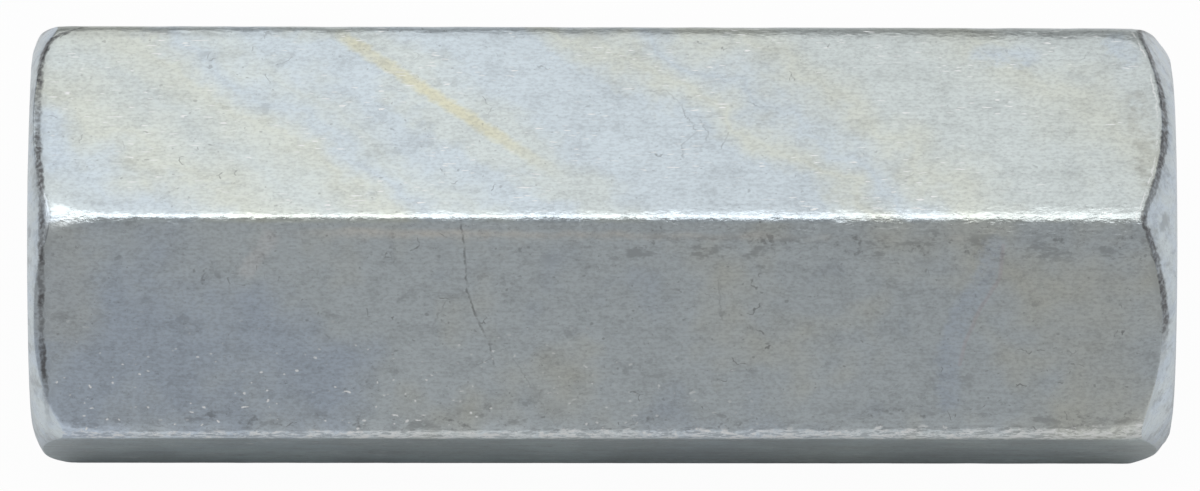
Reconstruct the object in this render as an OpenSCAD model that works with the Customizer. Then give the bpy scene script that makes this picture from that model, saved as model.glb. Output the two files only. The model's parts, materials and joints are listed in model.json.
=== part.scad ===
// Coupling nut: a hexagonal bar, threaded from end to end, that joins two rods.
// It lies on one of its flats with the thread along X, and its origin is under its middle.
// The right end (+X) has a conical chamfer, and the left end (-X) is rounded.

/* [Hexagon] */
// Distance between two opposite flats
across_flats = 15.875; // [14:0.125:24]
// Length from end to end
length = 43.8; // [25:0.1:90]
// Radius that rounds the six long corners
corner_r = 0.6; // [0.3:0.05:1.6]
// Angle at which that rounding meets the flats
corner_angle = 4; // [2:1:15]

/* [Thread] */
// Major diameter of the thread
thread_d = 9.525; // [6:0.005:11]
// Pitch of the thread
thread_pitch = 1.5875; // [0.8:0.0005:2]
// How much wider than the thread each countersink opens
sink_over = 0.8; // [0.2:0.05:1.5]
// Angle across each countersink, from side to side
sink_angle = 90; // [60:1:120]

/* [Right end] */
// How far in from the flats the chamfer reaches on the end face
right_chamfer = 0.7; // [0.2:0.05:1.2]
// Angle between the chamfer and the end face
right_chamfer_angle = 38; // [15:1:50]

/* [Left end] */
// Radius of the rounding round the end face
left_round = 2.35; // [1.2:0.05:3]
// Angle at which the rounding meets the end face
left_round_angle = 10; // [5:1:30]
// How far outside the corners the rounding would end, so that it meets them at an angle
left_round_out = 0.13; // [0.1:0.01:0.4]

/* [Hidden] */
$fn = 96;
zinc_colour = [0.74, 0.77, 0.77];

// A hexagon's sides, and the angle between a corner and the middle of the next flat
sides = 6;
half_side = 180 / sides;

// From the axis to a sharp corner, to the middle of its rounding, and to the rounded corner
sharp_reach = across_flats / 2 / cos(half_side);
rounding_reach = sharp_reach - corner_r * cos(corner_angle) / cos(half_side);
corner_reach = rounding_reach + corner_r;

// Hole left by the thread's crests: the standard minor diameter of an internal thread
minor_share = 1.0825;
bore_d = thread_d - minor_share * thread_pitch;
sink_d = thread_d + sink_over;
sink_depth = (sink_d - bore_d) / 2 / tan(sink_angle / 2);

// Right end: the face's radius, and the turned outline where it clears the corners
right_face_r = across_flats / 2 - right_chamfer;
clear_r = corner_reach + left_round_out / 2;
chamfer_depth = (clear_r - right_face_r) * tan(right_chamfer_angle);

// Left end: the middle of the rounding, from the axis and from the end face
left_round_r = corner_reach + left_round_out - left_round;
left_round_depth = left_round * cos(left_round_angle);

// Overlap that lets a cut run out of the solid
cut_over = 1;

// Hexagon with round corners, one of them along X
module rounded_hexagon() {
    difference() {
        circle(sharp_reach, $fn = sides);
        for (i = [1:sides])
            rotate(2 * half_side * i)
                corner_waste();
    }
}

// What the rounding takes off the corner along X, between the square lines to its two flats
module corner_waste() {
    waste_h = 2 * corner_r;
    waste_w = waste_h * tan(half_side);
    translate([rounding_reach, 0])
        difference() {
            polygon([[0, 0], [waste_h, -waste_w], [waste_h, waste_w]]);
            circle(corner_r);
        }
}

// Half outline that both ends are turned to, with the axis up and the right end at the top
module turned_outline() {
    polygon([
        [0, -cut_over],
        [left_round_r, -cut_over],
        [left_round_r, left_round_depth],
        [clear_r, left_round_depth],
        [clear_r, length - chamfer_depth],
        [right_face_r, length],
        [0, length],
    ]);
    translate([left_round_r, left_round_depth])
        circle(left_round);
}

// Hole through the whole nut, opened out at both mouths
module threaded_hole() {
    translate([0, 0, -cut_over])
        cylinder(h = length + 2 * cut_over, d = bore_d);
    for (end = [0, 1])
        translate([0, 0, end * length])
            rotate([180 * end, 0, 0])
                translate([0, 0, -cut_over])
                    countersink();
}

// Cone that is as wide as the mouth at the end face, and runs out past it
module countersink() {
    spread = 2 * tan(sink_angle / 2);
    cylinder(
        h = sink_depth + cut_over,
        d1 = sink_d + spread * cut_over,
        d2 = bore_d
    );
}

module coupling_nut() {
    color(zinc_colour)
        translate([-length / 2, 0, across_flats / 2])
            rotate([0, 90, 0])
                difference() {
                    intersection() {
                        rotate(90)
                            linear_extrude(length)
                                rounded_hexagon();
                        rotate_extrude()
                            turned_outline();
                    }
                    threaded_hole();
                }
}

coupling_nut();
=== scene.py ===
"""A zinc-plated coupling nut: its drawn flats, turned ends and thread, lit as on a studio table."""

import json
import math
from types import SimpleNamespace as Settings

import bmesh
import bpy
from mathutils import Matrix, Vector, noise


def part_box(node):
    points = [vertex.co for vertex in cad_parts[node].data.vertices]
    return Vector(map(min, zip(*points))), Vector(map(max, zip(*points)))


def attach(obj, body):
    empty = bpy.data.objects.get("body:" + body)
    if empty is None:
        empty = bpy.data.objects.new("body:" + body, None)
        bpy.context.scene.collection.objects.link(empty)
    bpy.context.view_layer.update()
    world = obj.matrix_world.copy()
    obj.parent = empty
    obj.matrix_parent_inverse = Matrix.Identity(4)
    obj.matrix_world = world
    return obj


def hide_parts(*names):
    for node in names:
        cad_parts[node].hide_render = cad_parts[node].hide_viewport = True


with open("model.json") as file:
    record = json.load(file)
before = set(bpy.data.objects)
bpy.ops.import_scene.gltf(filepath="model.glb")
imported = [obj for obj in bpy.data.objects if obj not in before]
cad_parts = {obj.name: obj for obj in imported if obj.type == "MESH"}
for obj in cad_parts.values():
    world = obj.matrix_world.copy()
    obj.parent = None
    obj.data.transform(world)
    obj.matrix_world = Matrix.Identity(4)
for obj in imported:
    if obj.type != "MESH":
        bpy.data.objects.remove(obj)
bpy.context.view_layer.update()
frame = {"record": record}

# Sizes of the nut, in millimetres, with its axis along X through the origin
MM = 0.001
nut_low, nut_high = (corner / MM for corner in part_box("coupling_nut"))
LENGTH = nut_high.x - nut_low.x
FLATS = nut_high.z - nut_low.z
AXIS_HEIGHT = (nut_high.z + nut_low.z) / 2
HALF = LENGTH / 2
FLAT_REACH = FLATS / 2
SIDES = 6
HALF_SIDE = math.pi / SIDES
WHOLE_SIDE = 2 * HALF_SIDE
SHARP_REACH = FLAT_REACH / math.cos(HALF_SIDE)
CORNER_REACH = nut_high.y

# Corners, counted round the axis from +Y towards +Z: how far along the flats each rounding runs, and
# how far its middle is from the sharp corner, at the left end and at the right
CORNER_R = 0.6
CORNER_RUN = CORNER_R * math.tan(HALF_SIDE)
CORNER_FADE = 3.0
JUST_PAST = 1.001
LEFT_RUN = (0.35, 0.35, 0.40, 0.26, 0.30, 0.35)
RIGHT_RUN = (0.60, 0.95, 1.10, 0.50, 0.35, 0.60)
LEFT_OFF = (0.094, 0.085, 0.060, 0.092, 0.060, 0.094)
RIGHT_OFF = (0.160, 0.150, 0.155, 0.110, 0.050, 0.160)
CORNER_GROWTH = 1.5

# Waves and nicks along the corners: their length, their share of the rounding, and where in the noise
# they are read, as a step from corner to corner and a level
WAVE_LENGTH = 0.8
WAVE_SHARE = 0.3
WAVE_AT = (3.1, 2.5)
NICK_LENGTH = 1.3
NICK_SHARE = 0.5
NICK_AT = (7.3, 0.5)

# Near each end some corners are rounded more: by how much there, and how soon that fades
LEFT_FLARE = (0.0, 0.0, 0.80, 0.30, 0.0, 0.0)
RIGHT_FLARE = (0.0, 0.25, 0.0, 0.35, 0.0, 0.0)
FLARE_LENGTH = 0.8
FLARE_OFF = 0.38

# Right end: a cone from the end face out to the corners, with a soft edge to the face
RIGHT_CHAMFER = 0.7
RIGHT_FACE_R = FLAT_REACH - RIGHT_CHAMFER
RIGHT_SLOPE = math.tan(math.radians(38))
RIGHT_SOFT = 0.14

# Left end: a rounding from the end face out to the corners, turned a little off the axis, and how far
# outside the corners it would end, at each corner and in the middle of each flat that follows it
LEFT_ROUND = 2.35
LEFT_ROUND_ANGLE = math.radians(10)
LEFT_OUT = (0.20, 0.20, 0.30, 0.19, 0.18, 0.17, 0.17, -0.06, 0.32, 0.20, 0.20, 0.20)
LEFT_FACE_R = CORNER_REACH + min(LEFT_OUT) - LEFT_ROUND + LEFT_ROUND * math.sin(LEFT_ROUND_ANGLE)
LEFT_OFF_AXIS = (0.05, 0.05)

# Dark line of painted shadow, with some grime, in the crevice that each end's turning left: its depth
# from the left end at each corner and in the middle of each flat that follows it, and its distance
# outside the right border
LEFT_LINE = (0.45, 0.40, 0.45, 0.36, 0.60, 0.55, 0.75, 0.45, 0.45, 0.40, 0.45, 0.40)
RIGHT_LINE_IN = 0.06

# Close to some corners the left line curls away from the end: how far, and how soon that fades
LEFT_CURL = (0.0, 2.0, 0.0, 0.0, 0.0, 0.0)
CURL_LENGTH = 0.4

# Angles round the axis where the lines begin and where each end's fades, and their strength past that
LINE_START = (40, 60)
LEFT_LINE_FADE = (166, 177)
RIGHT_LINE_FADE = (149, 162)
FAINT_LINE = 0.25

# Thread: a standard 60 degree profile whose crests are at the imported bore's radius, and which ends just
# inside the countersinks
THREAD = next(m for m in frame["record"]["mounts"] if m["name"] == "thread")
CREST_R = THREAD["dims"]["r_mm"]
PITCH = 1.5875
THREAD_DEPTH = 0.54127 * PITCH
ROOT_R = CREST_R + THREAD_DEPTH
SINK_DEPTH = 0.4
SINK_R = ROOT_R + SINK_DEPTH
SINK_END = HALF - SINK_DEPTH
THREAD_GAP = 0.05
THREAD_END = SINK_END - THREAD_GAP

# Fineness of the mesh
CORNER_STEPS = 12
FLAT_STEPS = 16
RINGS = 280
END_CROWDING = 0.6
CHAMFER_RINGS = 14
CHAMFER_CROWDING = 1.6
FACE_RINGS = 4
FACE_EASE = 0.8
THREAD_STEPS = 60
THREAD_WELD = PITCH / 1000
NUT_WELD = PITCH / 10000
CREASE_ZONE = 0.3
CREASE_PASSES = 8
CREASE_PULL = 0.5
SHARP_ANGLE = math.radians(44)

# The nut's three finishes, in the order of its material slots
DRAWN, TURNED, THREADED = range(3)


def blend(a, b, share):
    return a + (b - a) * share


def reach(co):
    """Distance from the axis."""
    return math.hypot(co.y, co.z)


def at_reach(co, r, x):
    """The point at the same angle round the axis, r from it and x along it."""
    share = r / reach(co)
    return Vector((x, co.y * share, co.z * share))


def nearest_corner(co):
    """Which corner is nearest, and where that corner would be if it were sharp."""
    corner = round(math.atan2(co.z, co.y) / WHOLE_SIDE) % SIDES
    turn = corner * WHOLE_SIDE
    return corner, Vector((co.x, SHARP_REACH * math.cos(turn), SHARP_REACH * math.sin(turn)))


def hexagon_reach(co):
    """Distance from the axis to the hexagon's outline at a point's angle."""
    turn = math.atan2(co.z, co.y) % WHOLE_SIDE - HALF_SIDE
    return min(FLAT_REACH / math.cos(turn), CORNER_REACH)


def right_border(r):
    """Where along X the right cone stands at a distance from the axis."""
    depth = (r - RIGHT_FACE_R) * RIGHT_SLOPE
    return HALF - RIGHT_SOFT * math.log1p(math.exp(depth / RIGHT_SOFT))


def round_axis(values, co):
    """The value at a point's angle, from values spread evenly round the axis."""
    turn = math.atan2(co.z, co.y) / (2 * math.pi) * len(values) % len(values)
    place = int(turn) % len(values)
    share = turn % 1
    return blend(values[place], values[(place + 1) % len(values)], share * share * (3 - 2 * share))


def left_border(co):
    """Where along X the left rounding stands at a point, by its distance from the rounding's axis."""
    round_reach = CORNER_REACH + round_axis(LEFT_OUT, co) - LEFT_ROUND
    out = math.hypot(co.y - LEFT_OFF_AXIS[0], co.z - LEFT_OFF_AXIS[1]) - round_reach
    out = min(max(out, LEFT_ROUND * math.sin(LEFT_ROUND_ANGLE)), LEFT_ROUND)
    return -HALF + LEFT_ROUND * math.cos(LEFT_ROUND_ANGLE) - math.sqrt(LEFT_ROUND**2 - out**2)


def flare(corner, t):
    """How much more a corner's rounding runs near the ends."""
    left = LEFT_FLARE[corner] * math.exp(-t * LENGTH / FLARE_LENGTH)
    right = RIGHT_FLARE[corner] * math.exp(-(1 - t) * LENGTH / FLARE_LENGTH)
    return left + right


def corner_run(corner, t):
    """How far a corner's rounding runs along the flats, t of the way along the nut."""
    run = blend(LEFT_RUN[corner], RIGHT_RUN[corner], t**CORNER_GROWTH) + flare(corner, t)
    wave = noise.noise((t * LENGTH / WAVE_LENGTH, corner * WAVE_AT[0], WAVE_AT[1]))
    return run * (1 + WAVE_SHARE * wave)


def corner_off(corner, t):
    """How far the middle of a rounding is from the sharp corner: a little more where it is nicked."""
    nick = noise.noise((t * LENGTH / NICK_LENGTH, corner * NICK_AT[0], NICK_AT[1]))
    off = blend(LEFT_OFF[corner], RIGHT_OFF[corner], t**CORNER_GROWTH) + flare(corner, t) * FLARE_OFF
    return off * (1 + NICK_SHARE * max(0.0, nick))


def run_on(bm, loop, place, finish):
    """Extrudes a loop of edges, puts each new vertex in its place and returns the new loop."""
    made = bmesh.ops.extrude_edge_only(bm, edges=loop)["geom"]
    fresh = {g for g in made if isinstance(g, bmesh.types.BMVert)}
    for v in fresh:
        v.co = place(v.co)
        for face in v.link_faces:
            face.material_index = finish
    return [g for g in made if isinstance(g, bmesh.types.BMEdge) and set(g.verts) <= fresh]


def rounded_hexagon(bm):
    """The nut's section as a loop of edges: six flats in short lengths, and rounded corners."""
    bmesh.ops.create_circle(bm, segments=SIDES, radius=SHARP_REACH, cap_ends=True)
    bmesh.ops.rotate(bm, verts=bm.verts[:], cent=(0, 0, 0), matrix=Matrix.Rotation(math.pi / 2, 3, "Y"))
    bmesh.ops.bevel(
        bm, geom=bm.verts[:], offset=CORNER_RUN, offset_type="OFFSET",
        segments=CORNER_STEPS, profile=0.5, affect="VERTICES", material=-1,
    )
    flats = [e for e in bm.edges if e.calc_length() > SHARP_REACH / 2]
    bmesh.ops.subdivide_edges(bm, edges=flats, cuts=FLAT_STEPS - 1)
    bmesh.ops.delete(bm, geom=bm.faces[:], context="FACES_ONLY")
    return bm.edges[:]


def fit_corner(co, t):
    """Moves a point of the section so that its corner's rounding is right there: flat, then tight."""
    corner, sharp = nearest_corner(co)
    run = corner_run(corner, t)
    inward = co - sharp
    away = inward.length
    if away < CORNER_RUN * JUST_PAST:
        turns = [corner * WHOLE_SIDE + side * WHOLE_SIDE for side in (-1, 1)]
        flats = [Vector((0, -math.cos(turn), -math.sin(turn))) for turn in turns]
        lean = math.cos(WHOLE_SIDE)
        near, far = (inward.dot(flats[i]) + inward.dot(flats[1 - i]) * lean for i in (0, 1))
        full = CORNER_RUN * (1 - lean**2)
        u = math.atan2(max(0.0, 1 - near / full), max(0.0, 1 - far / full)) / (math.pi / 2)
        tight = 2 * (run / corner_off(corner, t) / 2 - 1) * u * (1 - u)
        shares = ((1 - u) ** 2, u**2)
        return sharp + (flats[0] * shares[0] + flats[1] * shares[1]) * run / (sum(shares) + tight)
    if away < CORNER_FADE:
        share = (away - CORNER_RUN) / (CORNER_FADE - CORNER_RUN)
        return sharp + inward * blend(run, CORNER_FADE, share) / away
    return co


def draw_sides(bm, section):
    """Draws the section out from the left border to the right one, with its rings closer at the ends."""
    loop = section
    for ring in range(1, RINGS + 1):
        t = ring / RINGS
        t -= END_CROWDING * math.sin(2 * math.pi * t) / (2 * math.pi)
        loop = run_on(bm, loop, lambda co: Vector((t, co.y, co.z)), DRAWN)
    for v in bm.verts:
        t = max(0.0, v.co.x)
        v.co = fit_corner(v.co, t)
        v.co.x = blend(left_border(v.co), right_border(reach(v.co)), t)
    return loop


def turn_end(bm, loop, border, face_r, side):
    """Turns an end in from the sides: chamfer or rounding, end face, and countersink to the thread."""
    steps = [(ring / CHAMFER_RINGS) ** CHAMFER_CROWDING for ring in range(CHAMFER_RINGS + 1)]
    for here, there in zip(steps, steps[1:]):
        share = (there - here) / (1 - here)

        def in_to_face(co):
            moved = at_reach(co, blend(reach(co), face_r, share), co.x)
            moved.x = border(moved)
            return moved

        loop = run_on(bm, loop, in_to_face, TURNED)
    for ring in range(FACE_RINGS):
        r = blend(face_r, SINK_R, (ring + 1) / FACE_RINGS)
        loop = run_on(bm, loop, lambda co: at_reach(co, r, blend(co.x, side * HALF, FACE_EASE)), TURNED)
    return run_on(bm, loop, lambda co: at_reach(co, ROOT_R, side * SINK_END), TURNED)


def thread_mesh():
    """One pitch of thread profile wound through the nut, and trimmed where the countersinks begin."""
    root_flat = PITCH / 8
    crest_flat = PITCH / 4
    flank = (PITCH - root_flat - crest_flat) / 2
    turns = math.ceil(LENGTH / PITCH) + 2
    profile = [(0, CREST_R), (crest_flat, CREST_R)]
    profile += [(crest_flat + flank, ROOT_R), (crest_flat + flank + root_flat, ROOT_R), (PITCH, CREST_R)]
    start = -turns * PITCH / 2
    bm = bmesh.new()
    points = [bm.verts.new((start + x, 0, r)) for x, r in profile]
    lines = [bm.edges.new(pair) for pair in zip(points, points[1:])]
    bmesh.ops.spin(
        bm, geom=points + lines, cent=(0, 0, 0), axis=(1, 0, 0), dvec=(PITCH / THREAD_STEPS, 0, 0),
        angle=2 * math.pi * turns, steps=turns * THREAD_STEPS, use_merge=False, use_duplicate=False,
    )
    bmesh.ops.remove_doubles(bm, verts=bm.verts[:], dist=THREAD_WELD)
    for side in (-1, 1):
        bmesh.ops.bisect_plane(
            bm, geom=[*bm.verts, *bm.edges, *bm.faces], dist=THREAD_WELD,
            plane_co=(side * THREAD_END, 0, 0), plane_no=(side, 0, 0), clear_outer=True,
        )
    for v in bm.verts:
        cone_r = ROOT_R - (SINK_END - abs(v.co.x))
        if reach(v.co) < cone_r:
            v.co = at_reach(v.co, cone_r, v.co.x)
    for face in bm.faces:
        face.material_index = THREADED
    mesh = bpy.data.meshes.new("thread")
    bm.to_mesh(mesh)
    bm.free()
    return mesh


def join_thread(bm):
    """Puts the thread in the hole and closes the gap between it and both countersinks."""
    thread = thread_mesh()
    bm.from_mesh(thread)
    bpy.data.meshes.remove(thread)
    for side in (-1, 1):
        rims = [e for e in bm.edges if e.is_boundary and side * e.verts[0].co.x > 0]
        for face in bmesh.ops.bridge_loops(bm, edges=rims)["faces"]:
            face.material_index = THREADED


def line_distance(co):
    """Distance along X from the nearer end's dark line, positive towards the middle of the nut."""
    corner, sharp = nearest_corner(co)
    curl = LEFT_CURL[corner] * math.exp(-(co - sharp).length / CURL_LENGTH)
    left = co.x + HALF - round_axis(LEFT_LINE, co) - curl
    right = right_border(hexagon_reach(co)) + RIGHT_LINE_IN - co.x
    return min(left, right)


def line_strength(co):
    """How dark the painted shadow of the end lines is: full on the top flat, and fading down the front one.
    """
    turn = math.degrees(math.atan2(co.z, co.y)) % 360
    fade = LEFT_LINE_FADE if co.x < 0 else RIGHT_LINE_FADE
    begun = (turn - LINE_START[0]) / (LINE_START[1] - LINE_START[0])
    left = (fade[1] - turn) / (fade[1] - fade[0])
    return blend(FAINT_LINE, 1, min(max(min(begun, left), 0), 1))


def soften_creases(bm):
    """Rounds the creases between the sides and both ends."""
    zone = []
    for v in bm.verts:
        outline = hexagon_reach(v.co)
        border = at_reach(v.co, outline, 0)
        off = min(abs(v.co.x - left_border(border)), abs(v.co.x - right_border(outline)))
        if off < CREASE_ZONE and reach(v.co) > RIGHT_FACE_R:
            zone.append(v)
    for _ in range(CREASE_PASSES):
        bmesh.ops.smooth_vert(
            bm, verts=zone, factor=CREASE_PULL, use_axis_x=True, use_axis_y=True, use_axis_z=True,
        )


def mark_wear_and_shade(bm):
    """Keeps what wear and painted shade follow: nearness to the corner, and the dark line's distance
    and strength.
    """
    edge = bm.verts.layers.float.new("edge")
    line = bm.verts.layers.float.new("line")
    soot = bm.verts.layers.float.new("soot")
    for v in bm.verts:
        corner, sharp = nearest_corner(v.co)
        run = corner_run(corner, min(max(v.co.x / LENGTH + 0.5, 0), 1))
        v[edge] = 1 - (v.co - sharp).length / run
        v[line] = line_distance(v.co)
        v[soot] = line_strength(v.co)


def nut_mesh():
    """The whole nut as one closed shell, in metres, lying on a flat."""
    bm = bmesh.new()
    section = rounded_hexagon(bm)
    right = draw_sides(bm, section)
    turn_end(bm, section, left_border, LEFT_FACE_R, -1)
    turn_end(bm, right, lambda co: right_border(reach(co)), RIGHT_FACE_R, 1)
    soften_creases(bm)
    join_thread(bm)
    bmesh.ops.remove_doubles(bm, verts=bm.verts[:], dist=NUT_WELD)
    bmesh.ops.recalc_face_normals(bm, faces=bm.faces[:])
    mark_wear_and_shade(bm)
    bmesh.ops.translate(bm, verts=bm.verts[:], vec=(0, 0, AXIS_HEIGHT))
    bmesh.ops.scale(bm, verts=bm.verts[:], vec=(MM, MM, MM))
    mesh = bpy.data.meshes.new("plated_nut")
    bm.to_mesh(mesh)
    bm.free()
    mesh.shade_smooth()
    mesh.set_sharp_from_angle(angle=SHARP_ANGLE)
    return mesh


# Colours of the plate on the top flat, on the other flats and in the thread, of what lies on it, and of
# the painted shade and highlight
PLATE = (0.77, 0.84, 0.835)
BLUE = (0.715, 0.815, 0.905)
STRAW = (0.81, 0.84, 0.745)
TAN = (0.84, 0.81, 0.58)
SPECKLED = (0.50, 0.51, 0.46)
SIDE_PLATE = (0.765, 0.84, 0.875)
SIDE_BLUE = (0.70, 0.80, 0.92)
SIDE_OLIVE = (0.79, 0.82, 0.77)
SIDE_TEAL = (0.68, 0.80, 0.82)
SIDE_WARM = (0.91, 0.91, 0.87)
SIDE_PALE = (0.92, 0.94, 0.95)
ROSE = (0.74, 0.64, 0.67)
THIN_PLATE = (0.56, 0.58, 0.59)
GRIME_AND_SHADE = (0.14, 0.14, 0.145)
DUST_AND_HIGHLIGHT = (0.92, 0.93, 0.93)

# Patterns of the finishes: how large they are along X, Y and Z in millimetres, where they are read, and
# how detailed and rough they are
PATTERNS = {
    "cloud": {"size": (4.5, 4.5, 4.5), "detail": 5.0, "rough": 0.6},
    "patch": {"size": (6.0, 6.0, 6.0), "shift": 2.9, "detail": 3.0, "rough": 0.6},
    "grain": {"size": (0.18, 0.11, 0.11), "rough": 0.6},
    "drawn": {"size": (6.0, 0.12, 0.12)},
    "fine": {"size": (0.5, 0.4, 0.4), "shift": 1.3, "detail": 4.0, "rough": 0.65},
    "mottle": {"size": (1.2, 0.9, 0.9), "shift": 6.1, "detail": 4.0, "rough": 0.7},
    "smear": {"size": (1.2, 0.6, 0.6), "shift": 5.5, "detail": 4.0, "rough": 0.72},
    "speck": {"size": (0.42, 0.12, 0.12), "shift": 1.9, "detail": 3.0, "rough": 0.7},
    "nicks": {"size": (0.5, 0.25, 0.25), "detail": 4.0, "rough": 0.6},
    "clusters": {"size": (5.0, 4.0, 4.0), "shift": 7.7},
    "short": {"size": (0.6, 0.6, 0.6), "shift": 8.1},
    "pits": {"size": (0.26, 0.22, 0.22), "shift": 2.2, "detail": 1.0},
    "strewn": {"size": (3.0, 1.4, 1.4), "shift": 9.3},
    "dashes": {"size": (0.5, 0.08, 0.08), "shift": 4.4, "detail": 0.0},
    "dots": {"size": (0.21, 0.15, 0.15), "shift": 4.4, "detail": 0.0},
    "ragged": {"size": (0.4, 0.4, 0.4), "detail": 4.0, "rough": 0.65},
    "spots": {"size": (0.16, 0.16, 0.16), "shift": 6.6},
    "heavy": {"size": (1.3, 1.3, 1.3), "shift": 5.2},
    "end_cloud": {"size": (1.2, 0.9, 0.9), "detail": 4.0, "rough": 0.6},
    "end_grain": {"size": (0.16, 0.16, 0.16), "detail": 3.0},
    "end_stains": {"size": (0.9, 0.9, 0.9), "shift": 3.1, "detail": 4.0, "rough": 0.65},
    "thread_grain": {"size": (0.3, 0.3, 0.3), "detail": 3.0},
    "thread_stains": {"size": (1.3, 1.0, 1.0), "shift": 2.7, "detail": 4.0, "rough": 0.65},
}

# Strokes and cracks: the part of a line's width at full strength, and how the cracks are bent
FULL_WIDTH = 0.3
CRACK_BEND = (0.9, 0.9, 0.9)
BEND_SCALE = 1.7
BEND_DETAIL = 3.0

# Depth that a bump's height of 1 stands for
BUMP_DEPTH = 0.02


class Value:
    """A shader value, on which Python's operators add Math nodes."""

    def __init__(self, finish, socket):
        self.finish = finish
        self.socket = socket

    def __add__(self, other):
        return self.finish.math("ADD", self, other)

    def __radd__(self, other):
        return self.finish.math("ADD", other, self)

    def __sub__(self, other):
        return self.finish.math("SUBTRACT", self, other)

    def __rsub__(self, other):
        return self.finish.math("SUBTRACT", other, self)

    def __mul__(self, other):
        return self.finish.math("MULTIPLY", self, other)

    def __rmul__(self, other):
        return self.finish.math("MULTIPLY", other, self)

    def __truediv__(self, other):
        return self.finish.math("DIVIDE", self, other)

    def __abs__(self):
        return self.finish.math("ABSOLUTE", self)


class Finish:
    """A material, with its nodes added as they are named."""

    def __init__(self, name):
        self.material = bpy.data.materials.new(name)
        self.material.use_nodes = True
        self.tree = self.material.node_tree
        self.shader = self.tree.nodes["Principled BSDF"]
        self.output = self.tree.nodes["Material Output"]

    def node(self, kind, settings=None, sockets=None, out=0):
        """Adds a node with its settings, then its socket values or links, and gives one of its outputs."""
        node = self.tree.nodes.new(kind)
        for name, setting in (settings or {}).items():
            if name == "stops":
                self.set_stops(node.color_ramp.elements, setting)
            else:
                setattr(node, name, setting)
        self.fill(node, sockets or {})
        return Value(self, node.outputs[out])

    def set_stops(self, elements, stops):
        while len(elements) < len(stops):
            elements.new(1.0)
        for element, (position, colour) in zip(elements, stops):
            element.position = position
            element.color = (*colour, 1)

    def fill(self, node, sockets):
        for name, value in sockets.items():
            if isinstance(value, Value):
                self.tree.links.new(value.socket, node.inputs[name])
            else:
                node.inputs[name].default_value = value

    def math(self, operation, *values):
        return self.node("ShaderNodeMath", {"operation": operation}, dict(enumerate(values)))

    def most(self, *values):
        """The greatest of several values."""
        top = values[0]
        for value in values[1:]:
            top = self.math("MAXIMUM", top, value)
        return top

    def step(self, value, low, high):
        """A soft step from 0 at low to 1 at high."""
        ends = {"Value": value, "From Min": low, "From Max": high}
        return self.node("ShaderNodeMapRange", {"interpolation_type": "SMOOTHSTEP"}, ends)

    def mix(self, share, a, b):
        """Blends two colours."""
        a, b = (c if isinstance(c, Value) else (*c, 1) for c in (a, b))
        return self.node("ShaderNodeMix", {"data_type": "RGBA"}, {0: share, 6: a, 7: b}, 2)

    def ramp(self, value, low, high, stops):
        """A row of colours between two values."""
        places = [((at - low) / (high - low), colour) for at, colour in stops]
        return self.node("ShaderNodeValToRGB", {"stops": places}, {0: (value - low) / (high - low)})

    def attribute(self, name):
        return self.node("ShaderNodeAttribute", {"attribute_name": name}, out="Fac")

    def along(self, *direction):
        """Distance along a direction from the nut's axis, in millimetres."""
        here = self.node("ShaderNodeTexCoord", out="Object")
        way = {0: here, 1: direction}
        far = self.node("ShaderNodeVectorMath", {"operation": "DOT_PRODUCT"}, way, "Value")
        return far / MM - direction[2] * AXIS_HEIGHT

    def place(self, size, shift):
        """Object coordinates on which a pattern repeats about once in each size, in millimetres."""
        here = self.node("ShaderNodeTexCoord", out="Object")
        scale = tuple(1 / (MM * s) for s in size)
        sockets = {"Vector": here, "Scale": scale, "Location": (shift, shift, shift)}
        return self.node("ShaderNodeMapping", None, sockets)

    def noise(self, size, shift=0, detail=2.0, rough=0.5):
        here = self.place(size, shift)
        sockets = {"Vector": here, "Scale": 1.0, "Detail": detail, "Roughness": rough}
        return self.node("ShaderNodeTexNoise", None, sockets)

    def pattern(self, name):
        return self.noise(**PATTERNS[name])

    def stroke(self, u, v, points, width):
        """A soft line through points of a flat, where u and v are the flat's own coordinates."""
        nearest = None
        for (u0, v0), (u1, v1) in zip(points, points[1:]):
            run_u, run_v = u1 - u0, v1 - v0
            square = run_u**2 + run_v**2
            from_u, from_v = u - u0, v - v0
            ahead = {0: from_u, 1: run_u / square, 2: from_v * (run_v / square)}
            t = self.node("ShaderNodeMath", {"operation": "MULTIPLY_ADD", "use_clamp": True}, ahead)
            off_u = self.math("MULTIPLY_ADD", t, -run_u, from_u)
            off_v = self.math("MULTIPLY_ADD", t, -run_v, from_v)
            off = self.math("MULTIPLY_ADD", off_u, off_u, off_v * off_v)
            nearest = off if nearest is None else self.math("MINIMUM", nearest, off)
        return self.step(self.math("SQRT", nearest), width, width * FULL_WIDTH)

    def cracks(self, size, width, shift):
        """Thin lines between cells of about a size, a little bent, in millimetres."""
        here = self.place((size, size, size), shift)
        sockets = {"Vector": here, "Scale": BEND_SCALE, "Detail": BEND_DETAIL}
        bend = self.node("ShaderNodeTexNoise", None, sockets, "Color")
        moved = {0: bend, 1: CRACK_BEND, 2: here}
        bent = self.node("ShaderNodeVectorMath", {"operation": "MULTIPLY_ADD"}, moved)
        sockets = {"Vector": bent, "Scale": 1.0}
        cell = self.node("ShaderNodeTexVoronoi", {"feature": "DISTANCE_TO_EDGE"}, sockets)
        return self.step(cell * size, width, width * FULL_WIDTH)

    def bump(self, height, strength):
        sockets = {"Height": height, "Strength": strength, "Distance": BUMP_DEPTH * MM}
        return self.node("ShaderNodeBump", None, sockets)


# Directions of the front flat: up along it, and straight out of it
FRONT_RISE = (0, math.sin(HALF_SIDE), math.cos(HALF_SIDE))
FRONT_OUT = (0, -math.cos(HALF_SIDE), math.sin(HALF_SIDE))

# Where a flat begins below its own height, and which height is on the flats that face down
FLAT_BEGINS = (0.30, 0.15)
FACING_DOWN = (-0.1, -0.7)

# How far the fine pattern moves the marks
WAVER = 0.5

# In the settings below, a pair named after a place or a pattern is where a soft step begins and where it
# is full, in millimetres or in the pattern's own values, and a share is how much of a colour it brings

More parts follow.
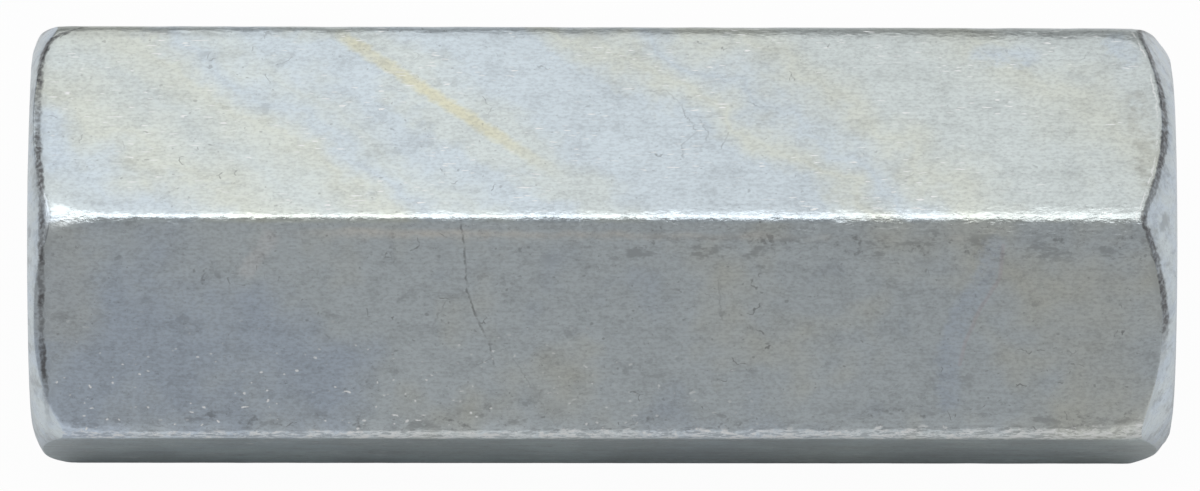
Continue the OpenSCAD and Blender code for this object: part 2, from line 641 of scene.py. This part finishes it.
# Tints across the top flat, by the distance in millimetres from the tan streak, and patches on the others
TINT_RANGE = (-13.0, 17.0)
TINTS = (
    (-13.0, PLATE), (-10.8, BLUE), (-9.0, STRAW), (-7.0, PLATE), (-5.3, STRAW), (-4.0, BLUE),
    (-3.0, PLATE), (-2.0, BLUE), (-1.2, BLUE), (-0.5, PLATE), (0.6, PLATE), (1.7, BLUE), (3.2, BLUE),
    (4.9, BLUE), (6.2, STRAW), (7.5, BLUE), (9.2, STRAW), (10.8, PLATE), (13.0, PLATE), (15.5, STRAW),
    (17.0, PLATE),
)
TINT_WANDER = 7.0
TINT_SHARE = 0.68
SIDE_RANGE = (0.30, 0.70)
SIDE_TINTS = ((0.30, SIDE_OLIVE), (0.45, SIDE_PLATE), (0.53, SIDE_PLATE), (0.70, SIDE_BLUE))
SIDE_DRIFT = 0.006
TEAL_SHARE = 0.7

# The tan streak across the top flat, from which its tints are measured
STREAK = Settings(
    way=(0.780, -0.626), start=(-9.95, 4.04), begins=(-0.8, 0.6), ends=(11.5, 6.5), half=(0.42, 0.10),
    share=0.32, cloud_share=0.8,
)

# Tints drawn on the top flat (along X, towards +Y) and on the front one (along X, upwards): each has a
# colour, a width, how much it wavers both ways, and a share that is plain, by the fine pattern and by
# the clouds
TOP_TINTS = (
    {
        "colour": BLUE, "width": 0.7, "waver": (2.0, 2.0), "share": (0.0, 1.2, 0.0),
        "lines": (((-21.1, 0.1), (-20.7, -1.9)), ((19.6, 3.8), (20.1, 3.1)), ((14.6, 3.2), (16.2, 3.1))),
    },
)
TOP_SPECKLED = Settings(
    points=((20.4, 1.0), (20.9, -2.6)), width=0.8, waver=(2.0, 1.0), fine=(0.3, 0.7), share=0.6,
)
FRONT_TINTS = (
    {
        "colour": SIDE_BLUE, "width": 0.65, "waver": (1.5, 1.0), "share": (0.0, 1.1, 0.0),
        "lines": (((14.85, 3.4), (14.6, 2.2), (13.7, 0.6), (13.2, -0.9), (13.2, -3.0)),),
    },
    {
        "colour": SIDE_BLUE, "width": 2.6, "waver": (1.5, 1.0), "share": (0.0, 1.1, 0.0),
        "lines": (((-17.5, 1.0), (-14.5, 0.2), (-12.0, -1.6)),),
    },
    {
        "colour": SIDE_OLIVE, "width": 2.0, "waver": (2.0, 2.0), "share": (0.2, 0.0, 0.5),
        "lines": (((-20.9, 3.6), (-20.4, 0.4)), ((18.8, 1.5), (18.9, -3.0))),
    },
)
FRONT_WARM = Settings(rise=(3.5, 4.0), edge=(0.2, -0.4), x=(-13, -8), share=0.5)
FRONT_STREAKS = (
    {
        "colour": ROSE, "width": 0.12, "waver": (0.3, 0.0), "share": (0.3, 0.0, 0.0),
        "lines": (((15.2, 3.4), (15.1, 2.1), (14.3, 0.7), (13.8, -0.6), (13.6, -1.5)),),
    },
    {
        "colour": SIDE_PALE, "width": 0.45, "waver": (1.0, 0.0), "share": (0.2, 0.7, 0.0),
        "lines": (((-12.6, 3.7), (-13.5, 2.35)),),
    },
)

# Hair scratches that are drawn one by one on the two flats, and the long scratch down the front
TOP_HAIRS = {
    "width": 0.05, "waver": (1.0, 1.0), "share": (0.0, 0.8, 0.0),
    "lines": (
        ((1.8, 1.45), (2.4, 1.45), (2.9, 0.85), (3.6, -0.5), (3.0, -1.15), (3.05, -1.8)),
        ((3.7, 0.05), (4.05, -0.5), (3.9, -1.0)),
        ((4.8, -0.55), (4.5, -1.35)),
    ),
}
FRONT_HAIRS = {
    "width": 0.05, "waver": (1.0, 0.0), "share": (0.0, 0.5, 0.0),
    "lines": (
        ((-6.5, 1.45), (-5.75, 1.4), (-6.5, 0.0)),
        ((-3.4, -1.3), (-2.8, -2.3), (-2.2, -3.4)),
        ((4.4, 2.1), (4.55, 0.3)),
    ),
}
SCRATCH = Settings(
    points=((-5.4, 4.5), (-5.25, 3.4), (-5.15, 1.55), (-4.7, 0.2), (-4.3, -0.65), (-4.15, -1.5)),
    width=0.07, waver=0.6, fine=(0.3, 0.65), share=0.6,
)

# Grime and painted shade: a thin film everywhere, darker towards the right of the top flat and in a mottle
# on the flats that face down, painted shade along the back rim of the top flat, dirt and smudges by the
# front flat's edges, hairs, pits, gaps in the scuffed lower corner, and a darker patch at the left between
# the line and the end
# The film's x pair darkens the top flat towards its right end
FILM = Settings(
    patch=(0.36, 0.66), patch_share=0.07, x=(-14, 18), x_share=0.10, grain=(0.62, 0.34), grain_share=0.17,
    drawn=(0.40, 0.70), drawn_share=0.05, mottle=(0.44, 0.72), mottle_share=0.12,
)
# The flats that face down are darker, in a mottle
FILM_BELOW = Settings(cloud=(0.42, 0.58), cloud_share=0.16, drawn=(0.35, 0.65), drawn_share=0.10)
# Painted shade: the top flat darker along its back edge, where the edge turns away from the light
BACK_RIM_SHADE = Settings(y=(3.95, 4.25), waver=0.4, edge=(0.2, -0.3), share=0.10, fine_share=0.30)
UNDER_EDGE = Settings(begins=(2.2, 3.0), ends=(4.1, 3.6), x=(-6, 1), share=0.3, x_share=0.7)
OVER_EDGE = Settings(begins=(-3.0, -3.7), ends=(-4.5, -4.1))
# Dirt is a little heavier on the flats that face down and lighter on the top flat
DIRT = Settings(
    mottle=(0.49, 0.63), fine=(0.47, 0.61), share=0.36, edge_share=0.22, below_share=0.14, top_less=0.04,
)
HAIRS = Settings(
    cell=1.4, width=0.035, shift=3.7, short=(0.58, 0.66), clusters=(0.46, 0.60), share=0.20,
    cluster_share=0.40,
)
SMUDGES = Settings(by_edge=(0.48, 0.64), edge_share=0.42, elsewhere=(0.60, 0.75), share=0.2)
PITS = Settings(pits=(0.70, 0.78), share=0.42)
LOW_EDGE = Settings(begins=(-3.4, -4.0), ends=(-5.6, -5.0))
GAPS = Settings(edge=(-0.5, 0.1), speck=(0.54, 0.40), share=0.45)
# A darker patch on the top flat between the left dark line and the end, towards the back
LEFT_OUTSIDE_DARK = Settings(line=(-0.05, -0.20), x=(0, -1), y=(1.0, 2.5), share=0.2, cloud_share=0.3)

# Bright flecks and a painted highlight: dashes along the flats, dots low on the front, a painted highlight
# along the right line, and scuffs
OFF_LINE = (0.3, 0.5)
DASHES = Settings(dashes=(0.73, 0.78), strewn=(0.45, 0.60))
DOTS = Settings(dots=(0.77, 0.82), rise=(1.5, -2.5), x=(15, -9), share=0.9)
RIM_HIGHLIGHT = Settings(off=0.26, half=(0.045, 0.01), x=(0, 1), mottle=(0.43, 0.57), share=0.6)
SCUFFS = Settings(
    waver=4.2, edge=(0.05, 0.45), speck=(0.42, 0.58), mottle=(0.42, 0.56), share=0.42, mottle_share=0.42,
)
FLECK_AND_HIGHLIGHT_DULLS = 0.8

# The dark line at both ends, painted shadow in a crevice with some grime: a ragged core with heavier
# lengths and spots, and a halo
END_LINE = Settings(
    waver=0.34, core=(0.21, 0.05), share=0.44, heavy=(0.40, 0.58), heavy_share=0.22, spots=(0.3, 0.6),
    spot_share=0.30, halo_off=0.05, halo=(0.60, 0.10), halo_share=0.12, ragged=(0.42, 0.62),
    ragged_share=0.24,
)

# Roughness and bump of the three finishes, plain and by their patterns, and what marks the ends and thread,
# with the painted shade on the left end's rounding where it faces the front
FLAT_ROUGH = Settings(plain=0.25, grain=0.08, line=0.2)
FLAT_BUMP = Settings(grain=0.25, drawn=0.10, dents=5.0, edge=(0.0, 0.6), line=1.5, strength=0.5)
END_ROUGH = Settings(plain=0.24, grain=0.1)
END_BUMP = Settings(grain=0.4, rings=0.5, line=1.5, strength=0.5)
END_RINGS = Settings(count=9, detail=3.0)
END_BLUE = Settings(cloud=(0.40, 0.65), share=0.6)
END_GRIME = Settings(grain=(0.60, 0.35), grain_share=0.12, stains=(0.48, 0.68), stain_share=0.40)
# Painted shade: the left end's rounding darker where it faces the front, below its top corner
END_WEDGE_SHADE = Settings(
    front=(0.0, 0.4), rise=(1.0, 2.5), x=(0, -1), line=(0.0, 0.15), share=0.4, cloud_share=0.5,
)
THREAD_ROUGH = Settings(plain=0.28, grain=0.16, roots=0.12)
THREAD_BUMP = 0.4
THREAD_GRIME = Settings(stains=(0.45, 0.70), stain_share=0.25, roots_from=0.4, root_share=0.5)


class FlatFinish(Finish):
    """The finish of the flats, with the places and patterns that its tints and marks share."""

    def __init__(self, name):
        super().__init__(name)
        self.x = self.along(1, 0, 0)
        self.y = self.along(0, 1, 0)
        z = self.along(0, 0, 1)
        self.rise = self.along(*FRONT_RISE)
        self.on_top = self.on_flat(z)
        self.on_front = self.on_flat(self.along(*FRONT_OUT))
        self.facing_down = self.step(z, *FACING_DOWN)
        self.low_edge = self.band(self.rise, LOW_EDGE)
        self.edge = self.attribute("edge")
        self.cloud = self.pattern("cloud")
        self.patch = self.pattern("patch")
        self.grain = self.pattern("grain")
        self.drawn = self.pattern("drawn")
        self.fine = self.pattern("fine")
        self.mottle = self.pattern("mottle")
        self.speck = self.pattern("speck")
        self.wave = (self.fine - 0.5) * WAVER
        self.line, self.off_line = end_line(self)

    def on_flat(self, height):
        return self.step(height, *(FLAT_REACH - below for below in FLAT_BEGINS))

    def band(self, value, limits):
        """1 between two soft limits."""
        return self.step(value, *limits.begins) * self.step(value, *limits.ends)

    def draw(self, on, v, mark):
        """The strength of each of a mark's lines on a flat, whose second coordinate is v."""
        waver_u, waver_v = mark["waver"]
        plain, by_fine, by_cloud = mark["share"]
        parts = [pattern * part for pattern, part in ((self.fine, by_fine), (self.cloud, by_cloud)) if part]
        share = sum(parts, plain)
        u = self.x + self.wave * waver_u
        v = v + self.wave * waver_v if waver_v else v
        return [self.stroke(u, v, points, mark["width"]) * on * share for points in mark["lines"]]

    def tint(self, colour, on, v, marks):
        """Lays tints on a flat over a colour."""
        for mark in marks:
            for strength in self.draw(on, v, mark):
                colour = self.mix(strength, colour, mark["colour"])
        return colour


def end_line(f):
    """The ragged dark line near both ends, painted shadow in a crevice with some grime, and the distance
    from it.
    """
    s = END_LINE
    ragged = f.pattern("ragged")
    off = f.attribute("line") + (ragged - 0.5) * s.waver
    heavy = f.step(f.pattern("heavy"), *s.heavy)
    spots = f.step(f.pattern("spots"), *s.spots)
    core = f.step(abs(off), *s.core) * (s.share + heavy * s.heavy_share + spots * s.spot_share)
    broken = s.halo_share + f.step(ragged, *s.ragged) * s.ragged_share
    halo = f.step(abs(off - s.halo_off), *s.halo) * broken
    return f.most(core, halo) * f.attribute("soot"), off


def flat_tints(f):
    """The plate's colours: tints on both sides of the streak on the top flat, and patches on the others."""
    way = STREAK.way
    from_u, from_v = f.x - STREAK.start[0], f.y - STREAK.start[1]
    across = -way[1] * from_u + way[0] * from_v
    along = way[0] * from_u + way[1] * from_v
    top_tint = f.ramp(across + (f.cloud - 0.5) * TINT_WANDER, *TINT_RANGE, TINTS)
    side_tint = f.ramp(f.patch - f.x * SIDE_DRIFT, *SIDE_RANGE, SIDE_TINTS)
    side_tint = f.mix(f.facing_down * TEAL_SHARE, side_tint, SIDE_TEAL)
    colour = f.mix(f.on_top, side_tint, f.mix(TINT_SHARE, PLATE, top_tint))

    streak = f.step(abs(across + f.wave), *STREAK.half) * f.band(along, STREAK) * f.on_top
    colour = f.mix(streak * (STREAK.share + f.cloud * STREAK.cloud_share), colour, TAN)
    colour = f.tint(colour, f.on_top, f.y, TOP_TINTS)
    s = TOP_SPECKLED
    spot = f.stroke(f.x + f.wave * s.waver[0], f.y + f.wave * s.waver[1], s.points, s.width)
    colour = f.mix(spot * f.on_top * f.step(f.fine, *s.fine) * s.share, colour, SPECKLED)

    colour = f.tint(colour, f.on_front, f.rise, FRONT_TINTS)
    s = FRONT_WARM
    warm = f.step(f.rise + f.wave, *s.rise) * f.on_front * f.step(f.edge, *s.edge) * f.step(f.x, *s.x)
    colour = f.mix(warm * (s.share + f.cloud), colour, SIDE_WARM)
    return f.tint(colour, f.on_front, f.rise, FRONT_STREAKS)


def flat_film_and_shade(f):
    """The thin film of grime on the flats, darker to the right of the top flat and mottled darker on those
    that face down, and painted shade along the back rim.
    """
    s = FILM
    # The film is darker towards the right end of the top flat
    film = f.step(f.patch, *s.patch) * s.patch_share + f.step(f.x, *s.x) * f.on_top * s.x_share
    film = film + f.step(f.grain, *s.grain) * s.grain_share + f.step(f.drawn, *s.drawn) * s.drawn_share
    film = film + f.step(f.mottle, *s.mottle) * s.mottle_share
    # The flats that face down get a darker mottle
    s = FILM_BELOW
    below = f.step(f.cloud, *s.cloud) * s.cloud_share + f.step(f.drawn, *s.drawn) * s.drawn_share
    # Painted shade along the back edge of the top flat, where it turns away from the light
    s = BACK_RIM_SHADE
    rim = f.step(f.y + f.wave * s.waver, *s.y) * f.on_top * f.step(f.edge, *s.edge)
    return film + below * f.facing_down + rim * (s.share + f.fine * s.fine_share)


def flat_hairs(f):
    """Hair scratches: short ones everywhere, those drawn one by one, and the long one down the front."""
    s = HAIRS
    clusters = f.step(f.pattern("clusters"), *s.clusters)
    short = f.step(f.pattern("short"), *s.short)
    strewn = f.cracks(s.cell, s.width, s.shift) * short * (s.share + clusters * s.cluster_share)
    drawn = f.draw(f.on_top, f.y, TOP_HAIRS) + f.draw(f.on_front, f.rise, FRONT_HAIRS)
    s = SCRATCH
    scratch = f.stroke(f.x + f.wave * s.waver, f.rise, s.points, s.width) * f.on_front
    return f.most(strewn, *drawn, scratch * f.step(f.fine, *s.fine) * s.share)


def flat_grime_and_shade(f):
    """How much grime and painted shade hide the plate on the flats."""
    s = UNDER_EDGE
    under_edge = f.band(f.rise, s) * (s.share + f.step(f.x, *s.x) * s.x_share)
    near_edge = f.most(under_edge, f.band(f.rise, OVER_EDGE)) * f.on_front
    s = DIRT
    share = s.share + near_edge * s.edge_share + f.facing_down * s.below_share - f.on_top * s.top_less
    dirt = f.step(f.mottle, *s.mottle) * f.step(f.fine, *s.fine) * share
    s = SMUDGES
    smear = f.pattern("smear")
    by_edge = f.step(smear, *s.by_edge) * near_edge * s.edge_share
    smudges = f.most(by_edge, f.step(smear, *s.elsewhere) * s.share)
    pits = f.step(f.pattern("pits"), *PITS.pits) * PITS.share
    s = GAPS
    gaps = f.low_edge * f.step(f.edge, *s.edge) * f.step(f.speck, *s.speck) * s.share
    # Darker between the left dark line and the end, towards the back of the top flat
    s = LEFT_OUTSIDE_DARK
    left_outside_dark = f.step(f.off_line, *s.line) * f.step(f.x, *s.x) * f.step(f.y, *s.y)
    left_outside_dark = left_outside_dark * (s.share + f.cloud * s.cloud_share)
    return f.most(flat_film_and_shade(f), flat_hairs(f), smudges, pits, dirt, gaps, left_outside_dark, f.line)


def flat_flecks_and_highlight(f):
    """How much of the flats is bright flecks of bare or dusty metal, and a painted highlight by the right
    line.
    """
    clear = f.step(f.off_line, *OFF_LINE)
    strewn = f.step(f.pattern("strewn"), *DASHES.strewn)
    dashes = f.step(f.pattern("dashes"), *DASHES.dashes) * strewn * (1 - f.on_front) * clear
    s = DOTS
    low_left = f.step(f.rise, *s.rise) * f.step(f.x, *s.x)
    dots = f.step(f.pattern("dots"), *s.dots) * f.on_front * low_left * clear * s.share
    # Painted highlight: a thin pale line inside the right dark line, standing in for a ridge that catches
    # the light
    s = RIM_HIGHLIGHT
    rim = f.step(abs(f.off_line - s.off), *s.half) * f.on_top * f.step(f.x, *s.x)
    rim = rim * f.step(f.mottle, *s.mottle) * s.share
    s = SCUFFS
    chipped = f.step(f.edge + (f.fine - 0.5) * s.waver, *s.edge)
    scuffs = chipped * f.low_edge * f.step(f.speck, *s.speck)
    scuffs = scuffs * (s.share + f.step(f.mottle, *s.mottle) * s.mottle_share)
    return f.most(dashes, dots, rim, scuffs)


def zinc_flats():
    """Bright zinc plate on drawn steel: blue and straw tints, drawing lines, hair scratches and specks,
    with painted shade at the back rim and end lines and a painted highlight by the right line.
    """
    f = FlatFinish("zinc_flats")
    flecks_and_highlight = flat_flecks_and_highlight(f)
    plate = f.mix(flat_grime_and_shade(f), flat_tints(f), GRIME_AND_SHADE)
    s = FLAT_BUMP
    dents = (f.pattern("nicks") - 0.5) * s.dents + (f.speck - 0.5) * f.low_edge * s.dents
    height = f.grain * s.grain + f.drawn * s.drawn + dents * f.step(f.edge, *s.edge) - f.line * s.line
    f.fill(f.shader, {
        "Base Color": f.mix(flecks_and_highlight, plate, DUST_AND_HIGHLIGHT),
        "Metallic": 1 - flecks_and_highlight * FLECK_AND_HIGHLIGHT_DULLS,
        "Roughness": FLAT_ROUGH.plain + f.grain * FLAT_ROUGH.grain + f.line * FLAT_ROUGH.line,
        "Normal": f.bump(height, s.strength),
    })
    return f.material


def zinc_ends():
    """Zinc plate on the turned ends: fine rings round the axis, the dark line at the sides as painted
    shadow, and painted shade where the left end's rounding faces the front.
    """
    f = Finish("zinc_ends")
    y = f.along(0, 1, 0)
    z = f.along(0, 0, 1)
    out = f.math("SQRT", y * y + z * z)
    sockets = {"W": out * END_RINGS.count, "Scale": 1.0, "Detail": END_RINGS.detail}
    rings = f.node("ShaderNodeTexNoise", {"noise_dimensions": "1D"}, sockets)
    cloud = f.pattern("end_cloud")
    grain = f.pattern("end_grain")
    line, off_line = end_line(f)
    plate = f.mix(f.step(cloud, *END_BLUE.cloud) * END_BLUE.share, SIDE_PLATE, SIDE_BLUE)
    film = f.step(grain, *END_GRIME.grain) * END_GRIME.grain_share
    stains = f.step(f.pattern("end_stains"), *END_GRIME.stains) * END_GRIME.stain_share
    # Painted shade: the left end's rounding darker where it faces the front
    s = END_WEDGE_SHADE
    wedge_shade = f.step(f.along(*FRONT_OUT) - z, *s.front) * f.step(f.along(*FRONT_RISE), *s.rise)
    wedge_shade = wedge_shade * f.step(f.along(1, 0, 0), *s.x) * f.step(off_line, *s.line)
    wedge_shade = wedge_shade * (s.share + cloud * s.cloud_share)
    s = END_BUMP
    f.fill(f.shader, {
        "Base Color": f.mix(f.most(film, stains, line, wedge_shade), plate, GRIME_AND_SHADE),
        "Metallic": 1.0,
        "Roughness": END_ROUGH.plain + grain * END_ROUGH.grain,
        "Normal": f.bump(grain * s.grain + rings * s.rings - line * s.line, s.strength),
    })
    return f.material


def zinc_thread():
    """Zinc plate in the thread: thinner than outside, and dirty in the roots."""
    f = Finish("zinc_thread")
    y = f.along(0, 1, 0)
    z = f.along(0, 0, 1)
    out = f.math("SQRT", y * y + z * z)
    grain = f.pattern("thread_grain")
    s = THREAD_GRIME
    stains = f.step(f.pattern("thread_stains"), *s.stains)
    roots = f.step(out, blend(CREST_R, ROOT_R, s.roots_from), ROOT_R)
    plate = f.mix(grain, THIN_PLATE, SIDE_PLATE)
    f.fill(f.shader, {
        "Base Color": f.mix(f.most(roots * s.root_share, stains * s.stain_share), plate, GRIME_AND_SHADE),
        "Metallic": 1.0,
        "Roughness": THREAD_ROUGH.plain + grain * THREAD_ROUGH.grain + roots * THREAD_ROUGH.roots,
        "Normal": f.bump(grain, THREAD_BUMP),
    })
    return f.material


def add_nut():
    mesh = nut_mesh()
    for material in (zinc_flats(), zinc_ends(), zinc_thread()):
        mesh.materials.append(material)
    nut = bpy.data.objects.new("plated_nut", mesh)
    bpy.context.scene.collection.objects.link(nut)
    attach(nut, "root")
    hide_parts("coupling_nut")


# Camera: a long lens looking down on the nut, with the nut's middle at a pixel of the photograph
PHOTO_SIZE = (1200, 491)
PHOTO_SCALE = 25.97
NUT_PIXEL = (602.7, 246.1)
CAMERA_UP = math.radians(53.0)
CAMERA_FAR = 603
CAMERA_ROLL = 0.001
CAMERA_CLIP = (0.01, 10)
SENSOR = 36

# Soft lamps: azimuth, with 0 on the camera's side, elevation, size in metres and radiance
PANEL_FAR = 0.8
PANELS = {
    "back_panel": (180, 63, (1.0, 0.65), 0.62),
    "top_panel": (0, 76, (1.2, 0.46), 1.65),
    "right_panel": (95, 20, (0.8, 0.6), 0.28),
    "left_panel": (-95, 28, (0.5, 0.5), 1.05),
}

# Floor: a disc just under the nut, its paint, how white the camera and reflections see it, and how far
# from the nut it is that white in reflections
FLOOR_RADIUS = 1.5
FLOOR_SEGMENTS = 64
FLOOR_DROP = 0.02
FLOOR_PAINT = (0.65, 0.65, 0.65)
FLOOR_WHITE = 0.965
FLOOR_REFLECTED = 0.28
FLOOR_NEAR = (0.0, 5.5)
WORLD_GREY = (0.33, 0.33, 0.33)


def add_camera():
    data = bpy.data.cameras.new("camera")
    data.sensor_width = SENSOR
    data.lens = SENSOR * CAMERA_FAR * PHOTO_SCALE / PHOTO_SIZE[0]
    data.clip_start, data.clip_end = CAMERA_CLIP
    back = Vector((0, -math.cos(CAMERA_UP), math.sin(CAMERA_UP)))
    right = Vector((1, 0, 0))
    up = back.cross(right)
    across = (NUT_PIXEL[0] - PHOTO_SIZE[0] / 2) / PHOTO_SCALE
    down = (NUT_PIXEL[1] - PHOTO_SIZE[1] / 2) / PHOTO_SCALE
    aim = Vector((0, 0, AXIS_HEIGHT)) - right * across + up * down
    camera = bpy.data.objects.new("camera", data)
    turn = (-back).to_track_quat("-Z", "Y").to_matrix() @ Matrix.Rotation(CAMERA_ROLL, 3, "Z")
    camera.matrix_world = Matrix.Translation((aim + back * CAMERA_FAR) * MM) @ turn.to_4x4()
    bpy.context.scene.collection.objects.link(camera)
    bpy.context.scene.camera = camera


def add_panel(name, azimuth, elevation, size, radiance):
    """A rectangular lamp that faces the nut from a direction."""
    a = math.radians(azimuth)
    e = math.radians(elevation)
    out = Vector((math.sin(a) * math.cos(e), -math.cos(a) * math.cos(e), math.sin(e)))
    data = bpy.data.lights.new(name, "AREA")
    data.shape = "RECTANGLE"
    data.size, data.size_y = size
    data.energy = radiance * math.pi * size[0] * size[1]
    lamp = bpy.data.objects.new(name, data)
    lamp.location = out * PANEL_FAR
    lamp.rotation_euler = out.to_track_quat("Z", "Y").to_euler()
    lamp.visible_camera = False
    bpy.context.scene.collection.objects.link(lamp)


def pale_paint():
    """Floor paint that is white to the camera and in reflections, and darker close to the nut."""
    f = Finish("pale_floor")
    f.fill(f.shader, {"Base Color": (*FLOOR_PAINT, 1), "Roughness": 1.0, "Specular IOR Level": 0.0})
    camera = f.node("ShaderNodeLightPath", out="Is Camera Ray")
    glossy = f.node("ShaderNodeLightPath", out="Is Glossy Ray")
    clear = f.node("ShaderNodeLightPath", out="Is Transmission Ray")
    past_end = f.most(abs(f.along(1, 0, 0)) - HALF, 0.0)
    past_side = f.most(abs(f.along(0, 1, 0)) - SHARP_REACH, 0.0)
    far = f.step(f.math("SQRT", past_end * past_end + past_side * past_side), *FLOOR_NEAR)
    share = f.most(camera * FLOOR_WHITE, f.most(glossy, clear) * far * FLOOR_REFLECTED)
    white = f.node("ShaderNodeEmission", None, {"Color": (1, 1, 1, 1), "Strength": 1.0})
    paint = Value(f, f.shader.outputs["BSDF"])
    f.fill(f.output, {"Surface": f.node("ShaderNodeMixShader", None, {0: share, 1: paint, 2: white})})
    return f.material


def add_floor():
    bm = bmesh.new()
    bmesh.ops.create_circle(bm, segments=FLOOR_SEGMENTS, radius=FLOOR_RADIUS, cap_ends=True)
    bmesh.ops.translate(bm, verts=bm.verts[:], vec=(0, 0, -FLOOR_DROP * MM))
    mesh = bpy.data.meshes.new("floor")
    bm.to_mesh(mesh)
    bm.free()
    mesh.materials.append(pale_paint())
    floor = bpy.data.objects.new("floor", mesh)
    bpy.context.scene.collection.objects.link(floor)


def add_world():
    world = bpy.data.worlds.new("studio")
    world.use_nodes = True
    world.node_tree.nodes["Background"].inputs["Color"].default_value = (*WORLD_GREY, 1)
    bpy.context.scene.world = world


add_camera()
add_nut()
for panel, values in PANELS.items():
    add_panel(panel, *values)
add_floor()
add_world()
bpy.context.scene.view_settings.view_transform = "Standard"
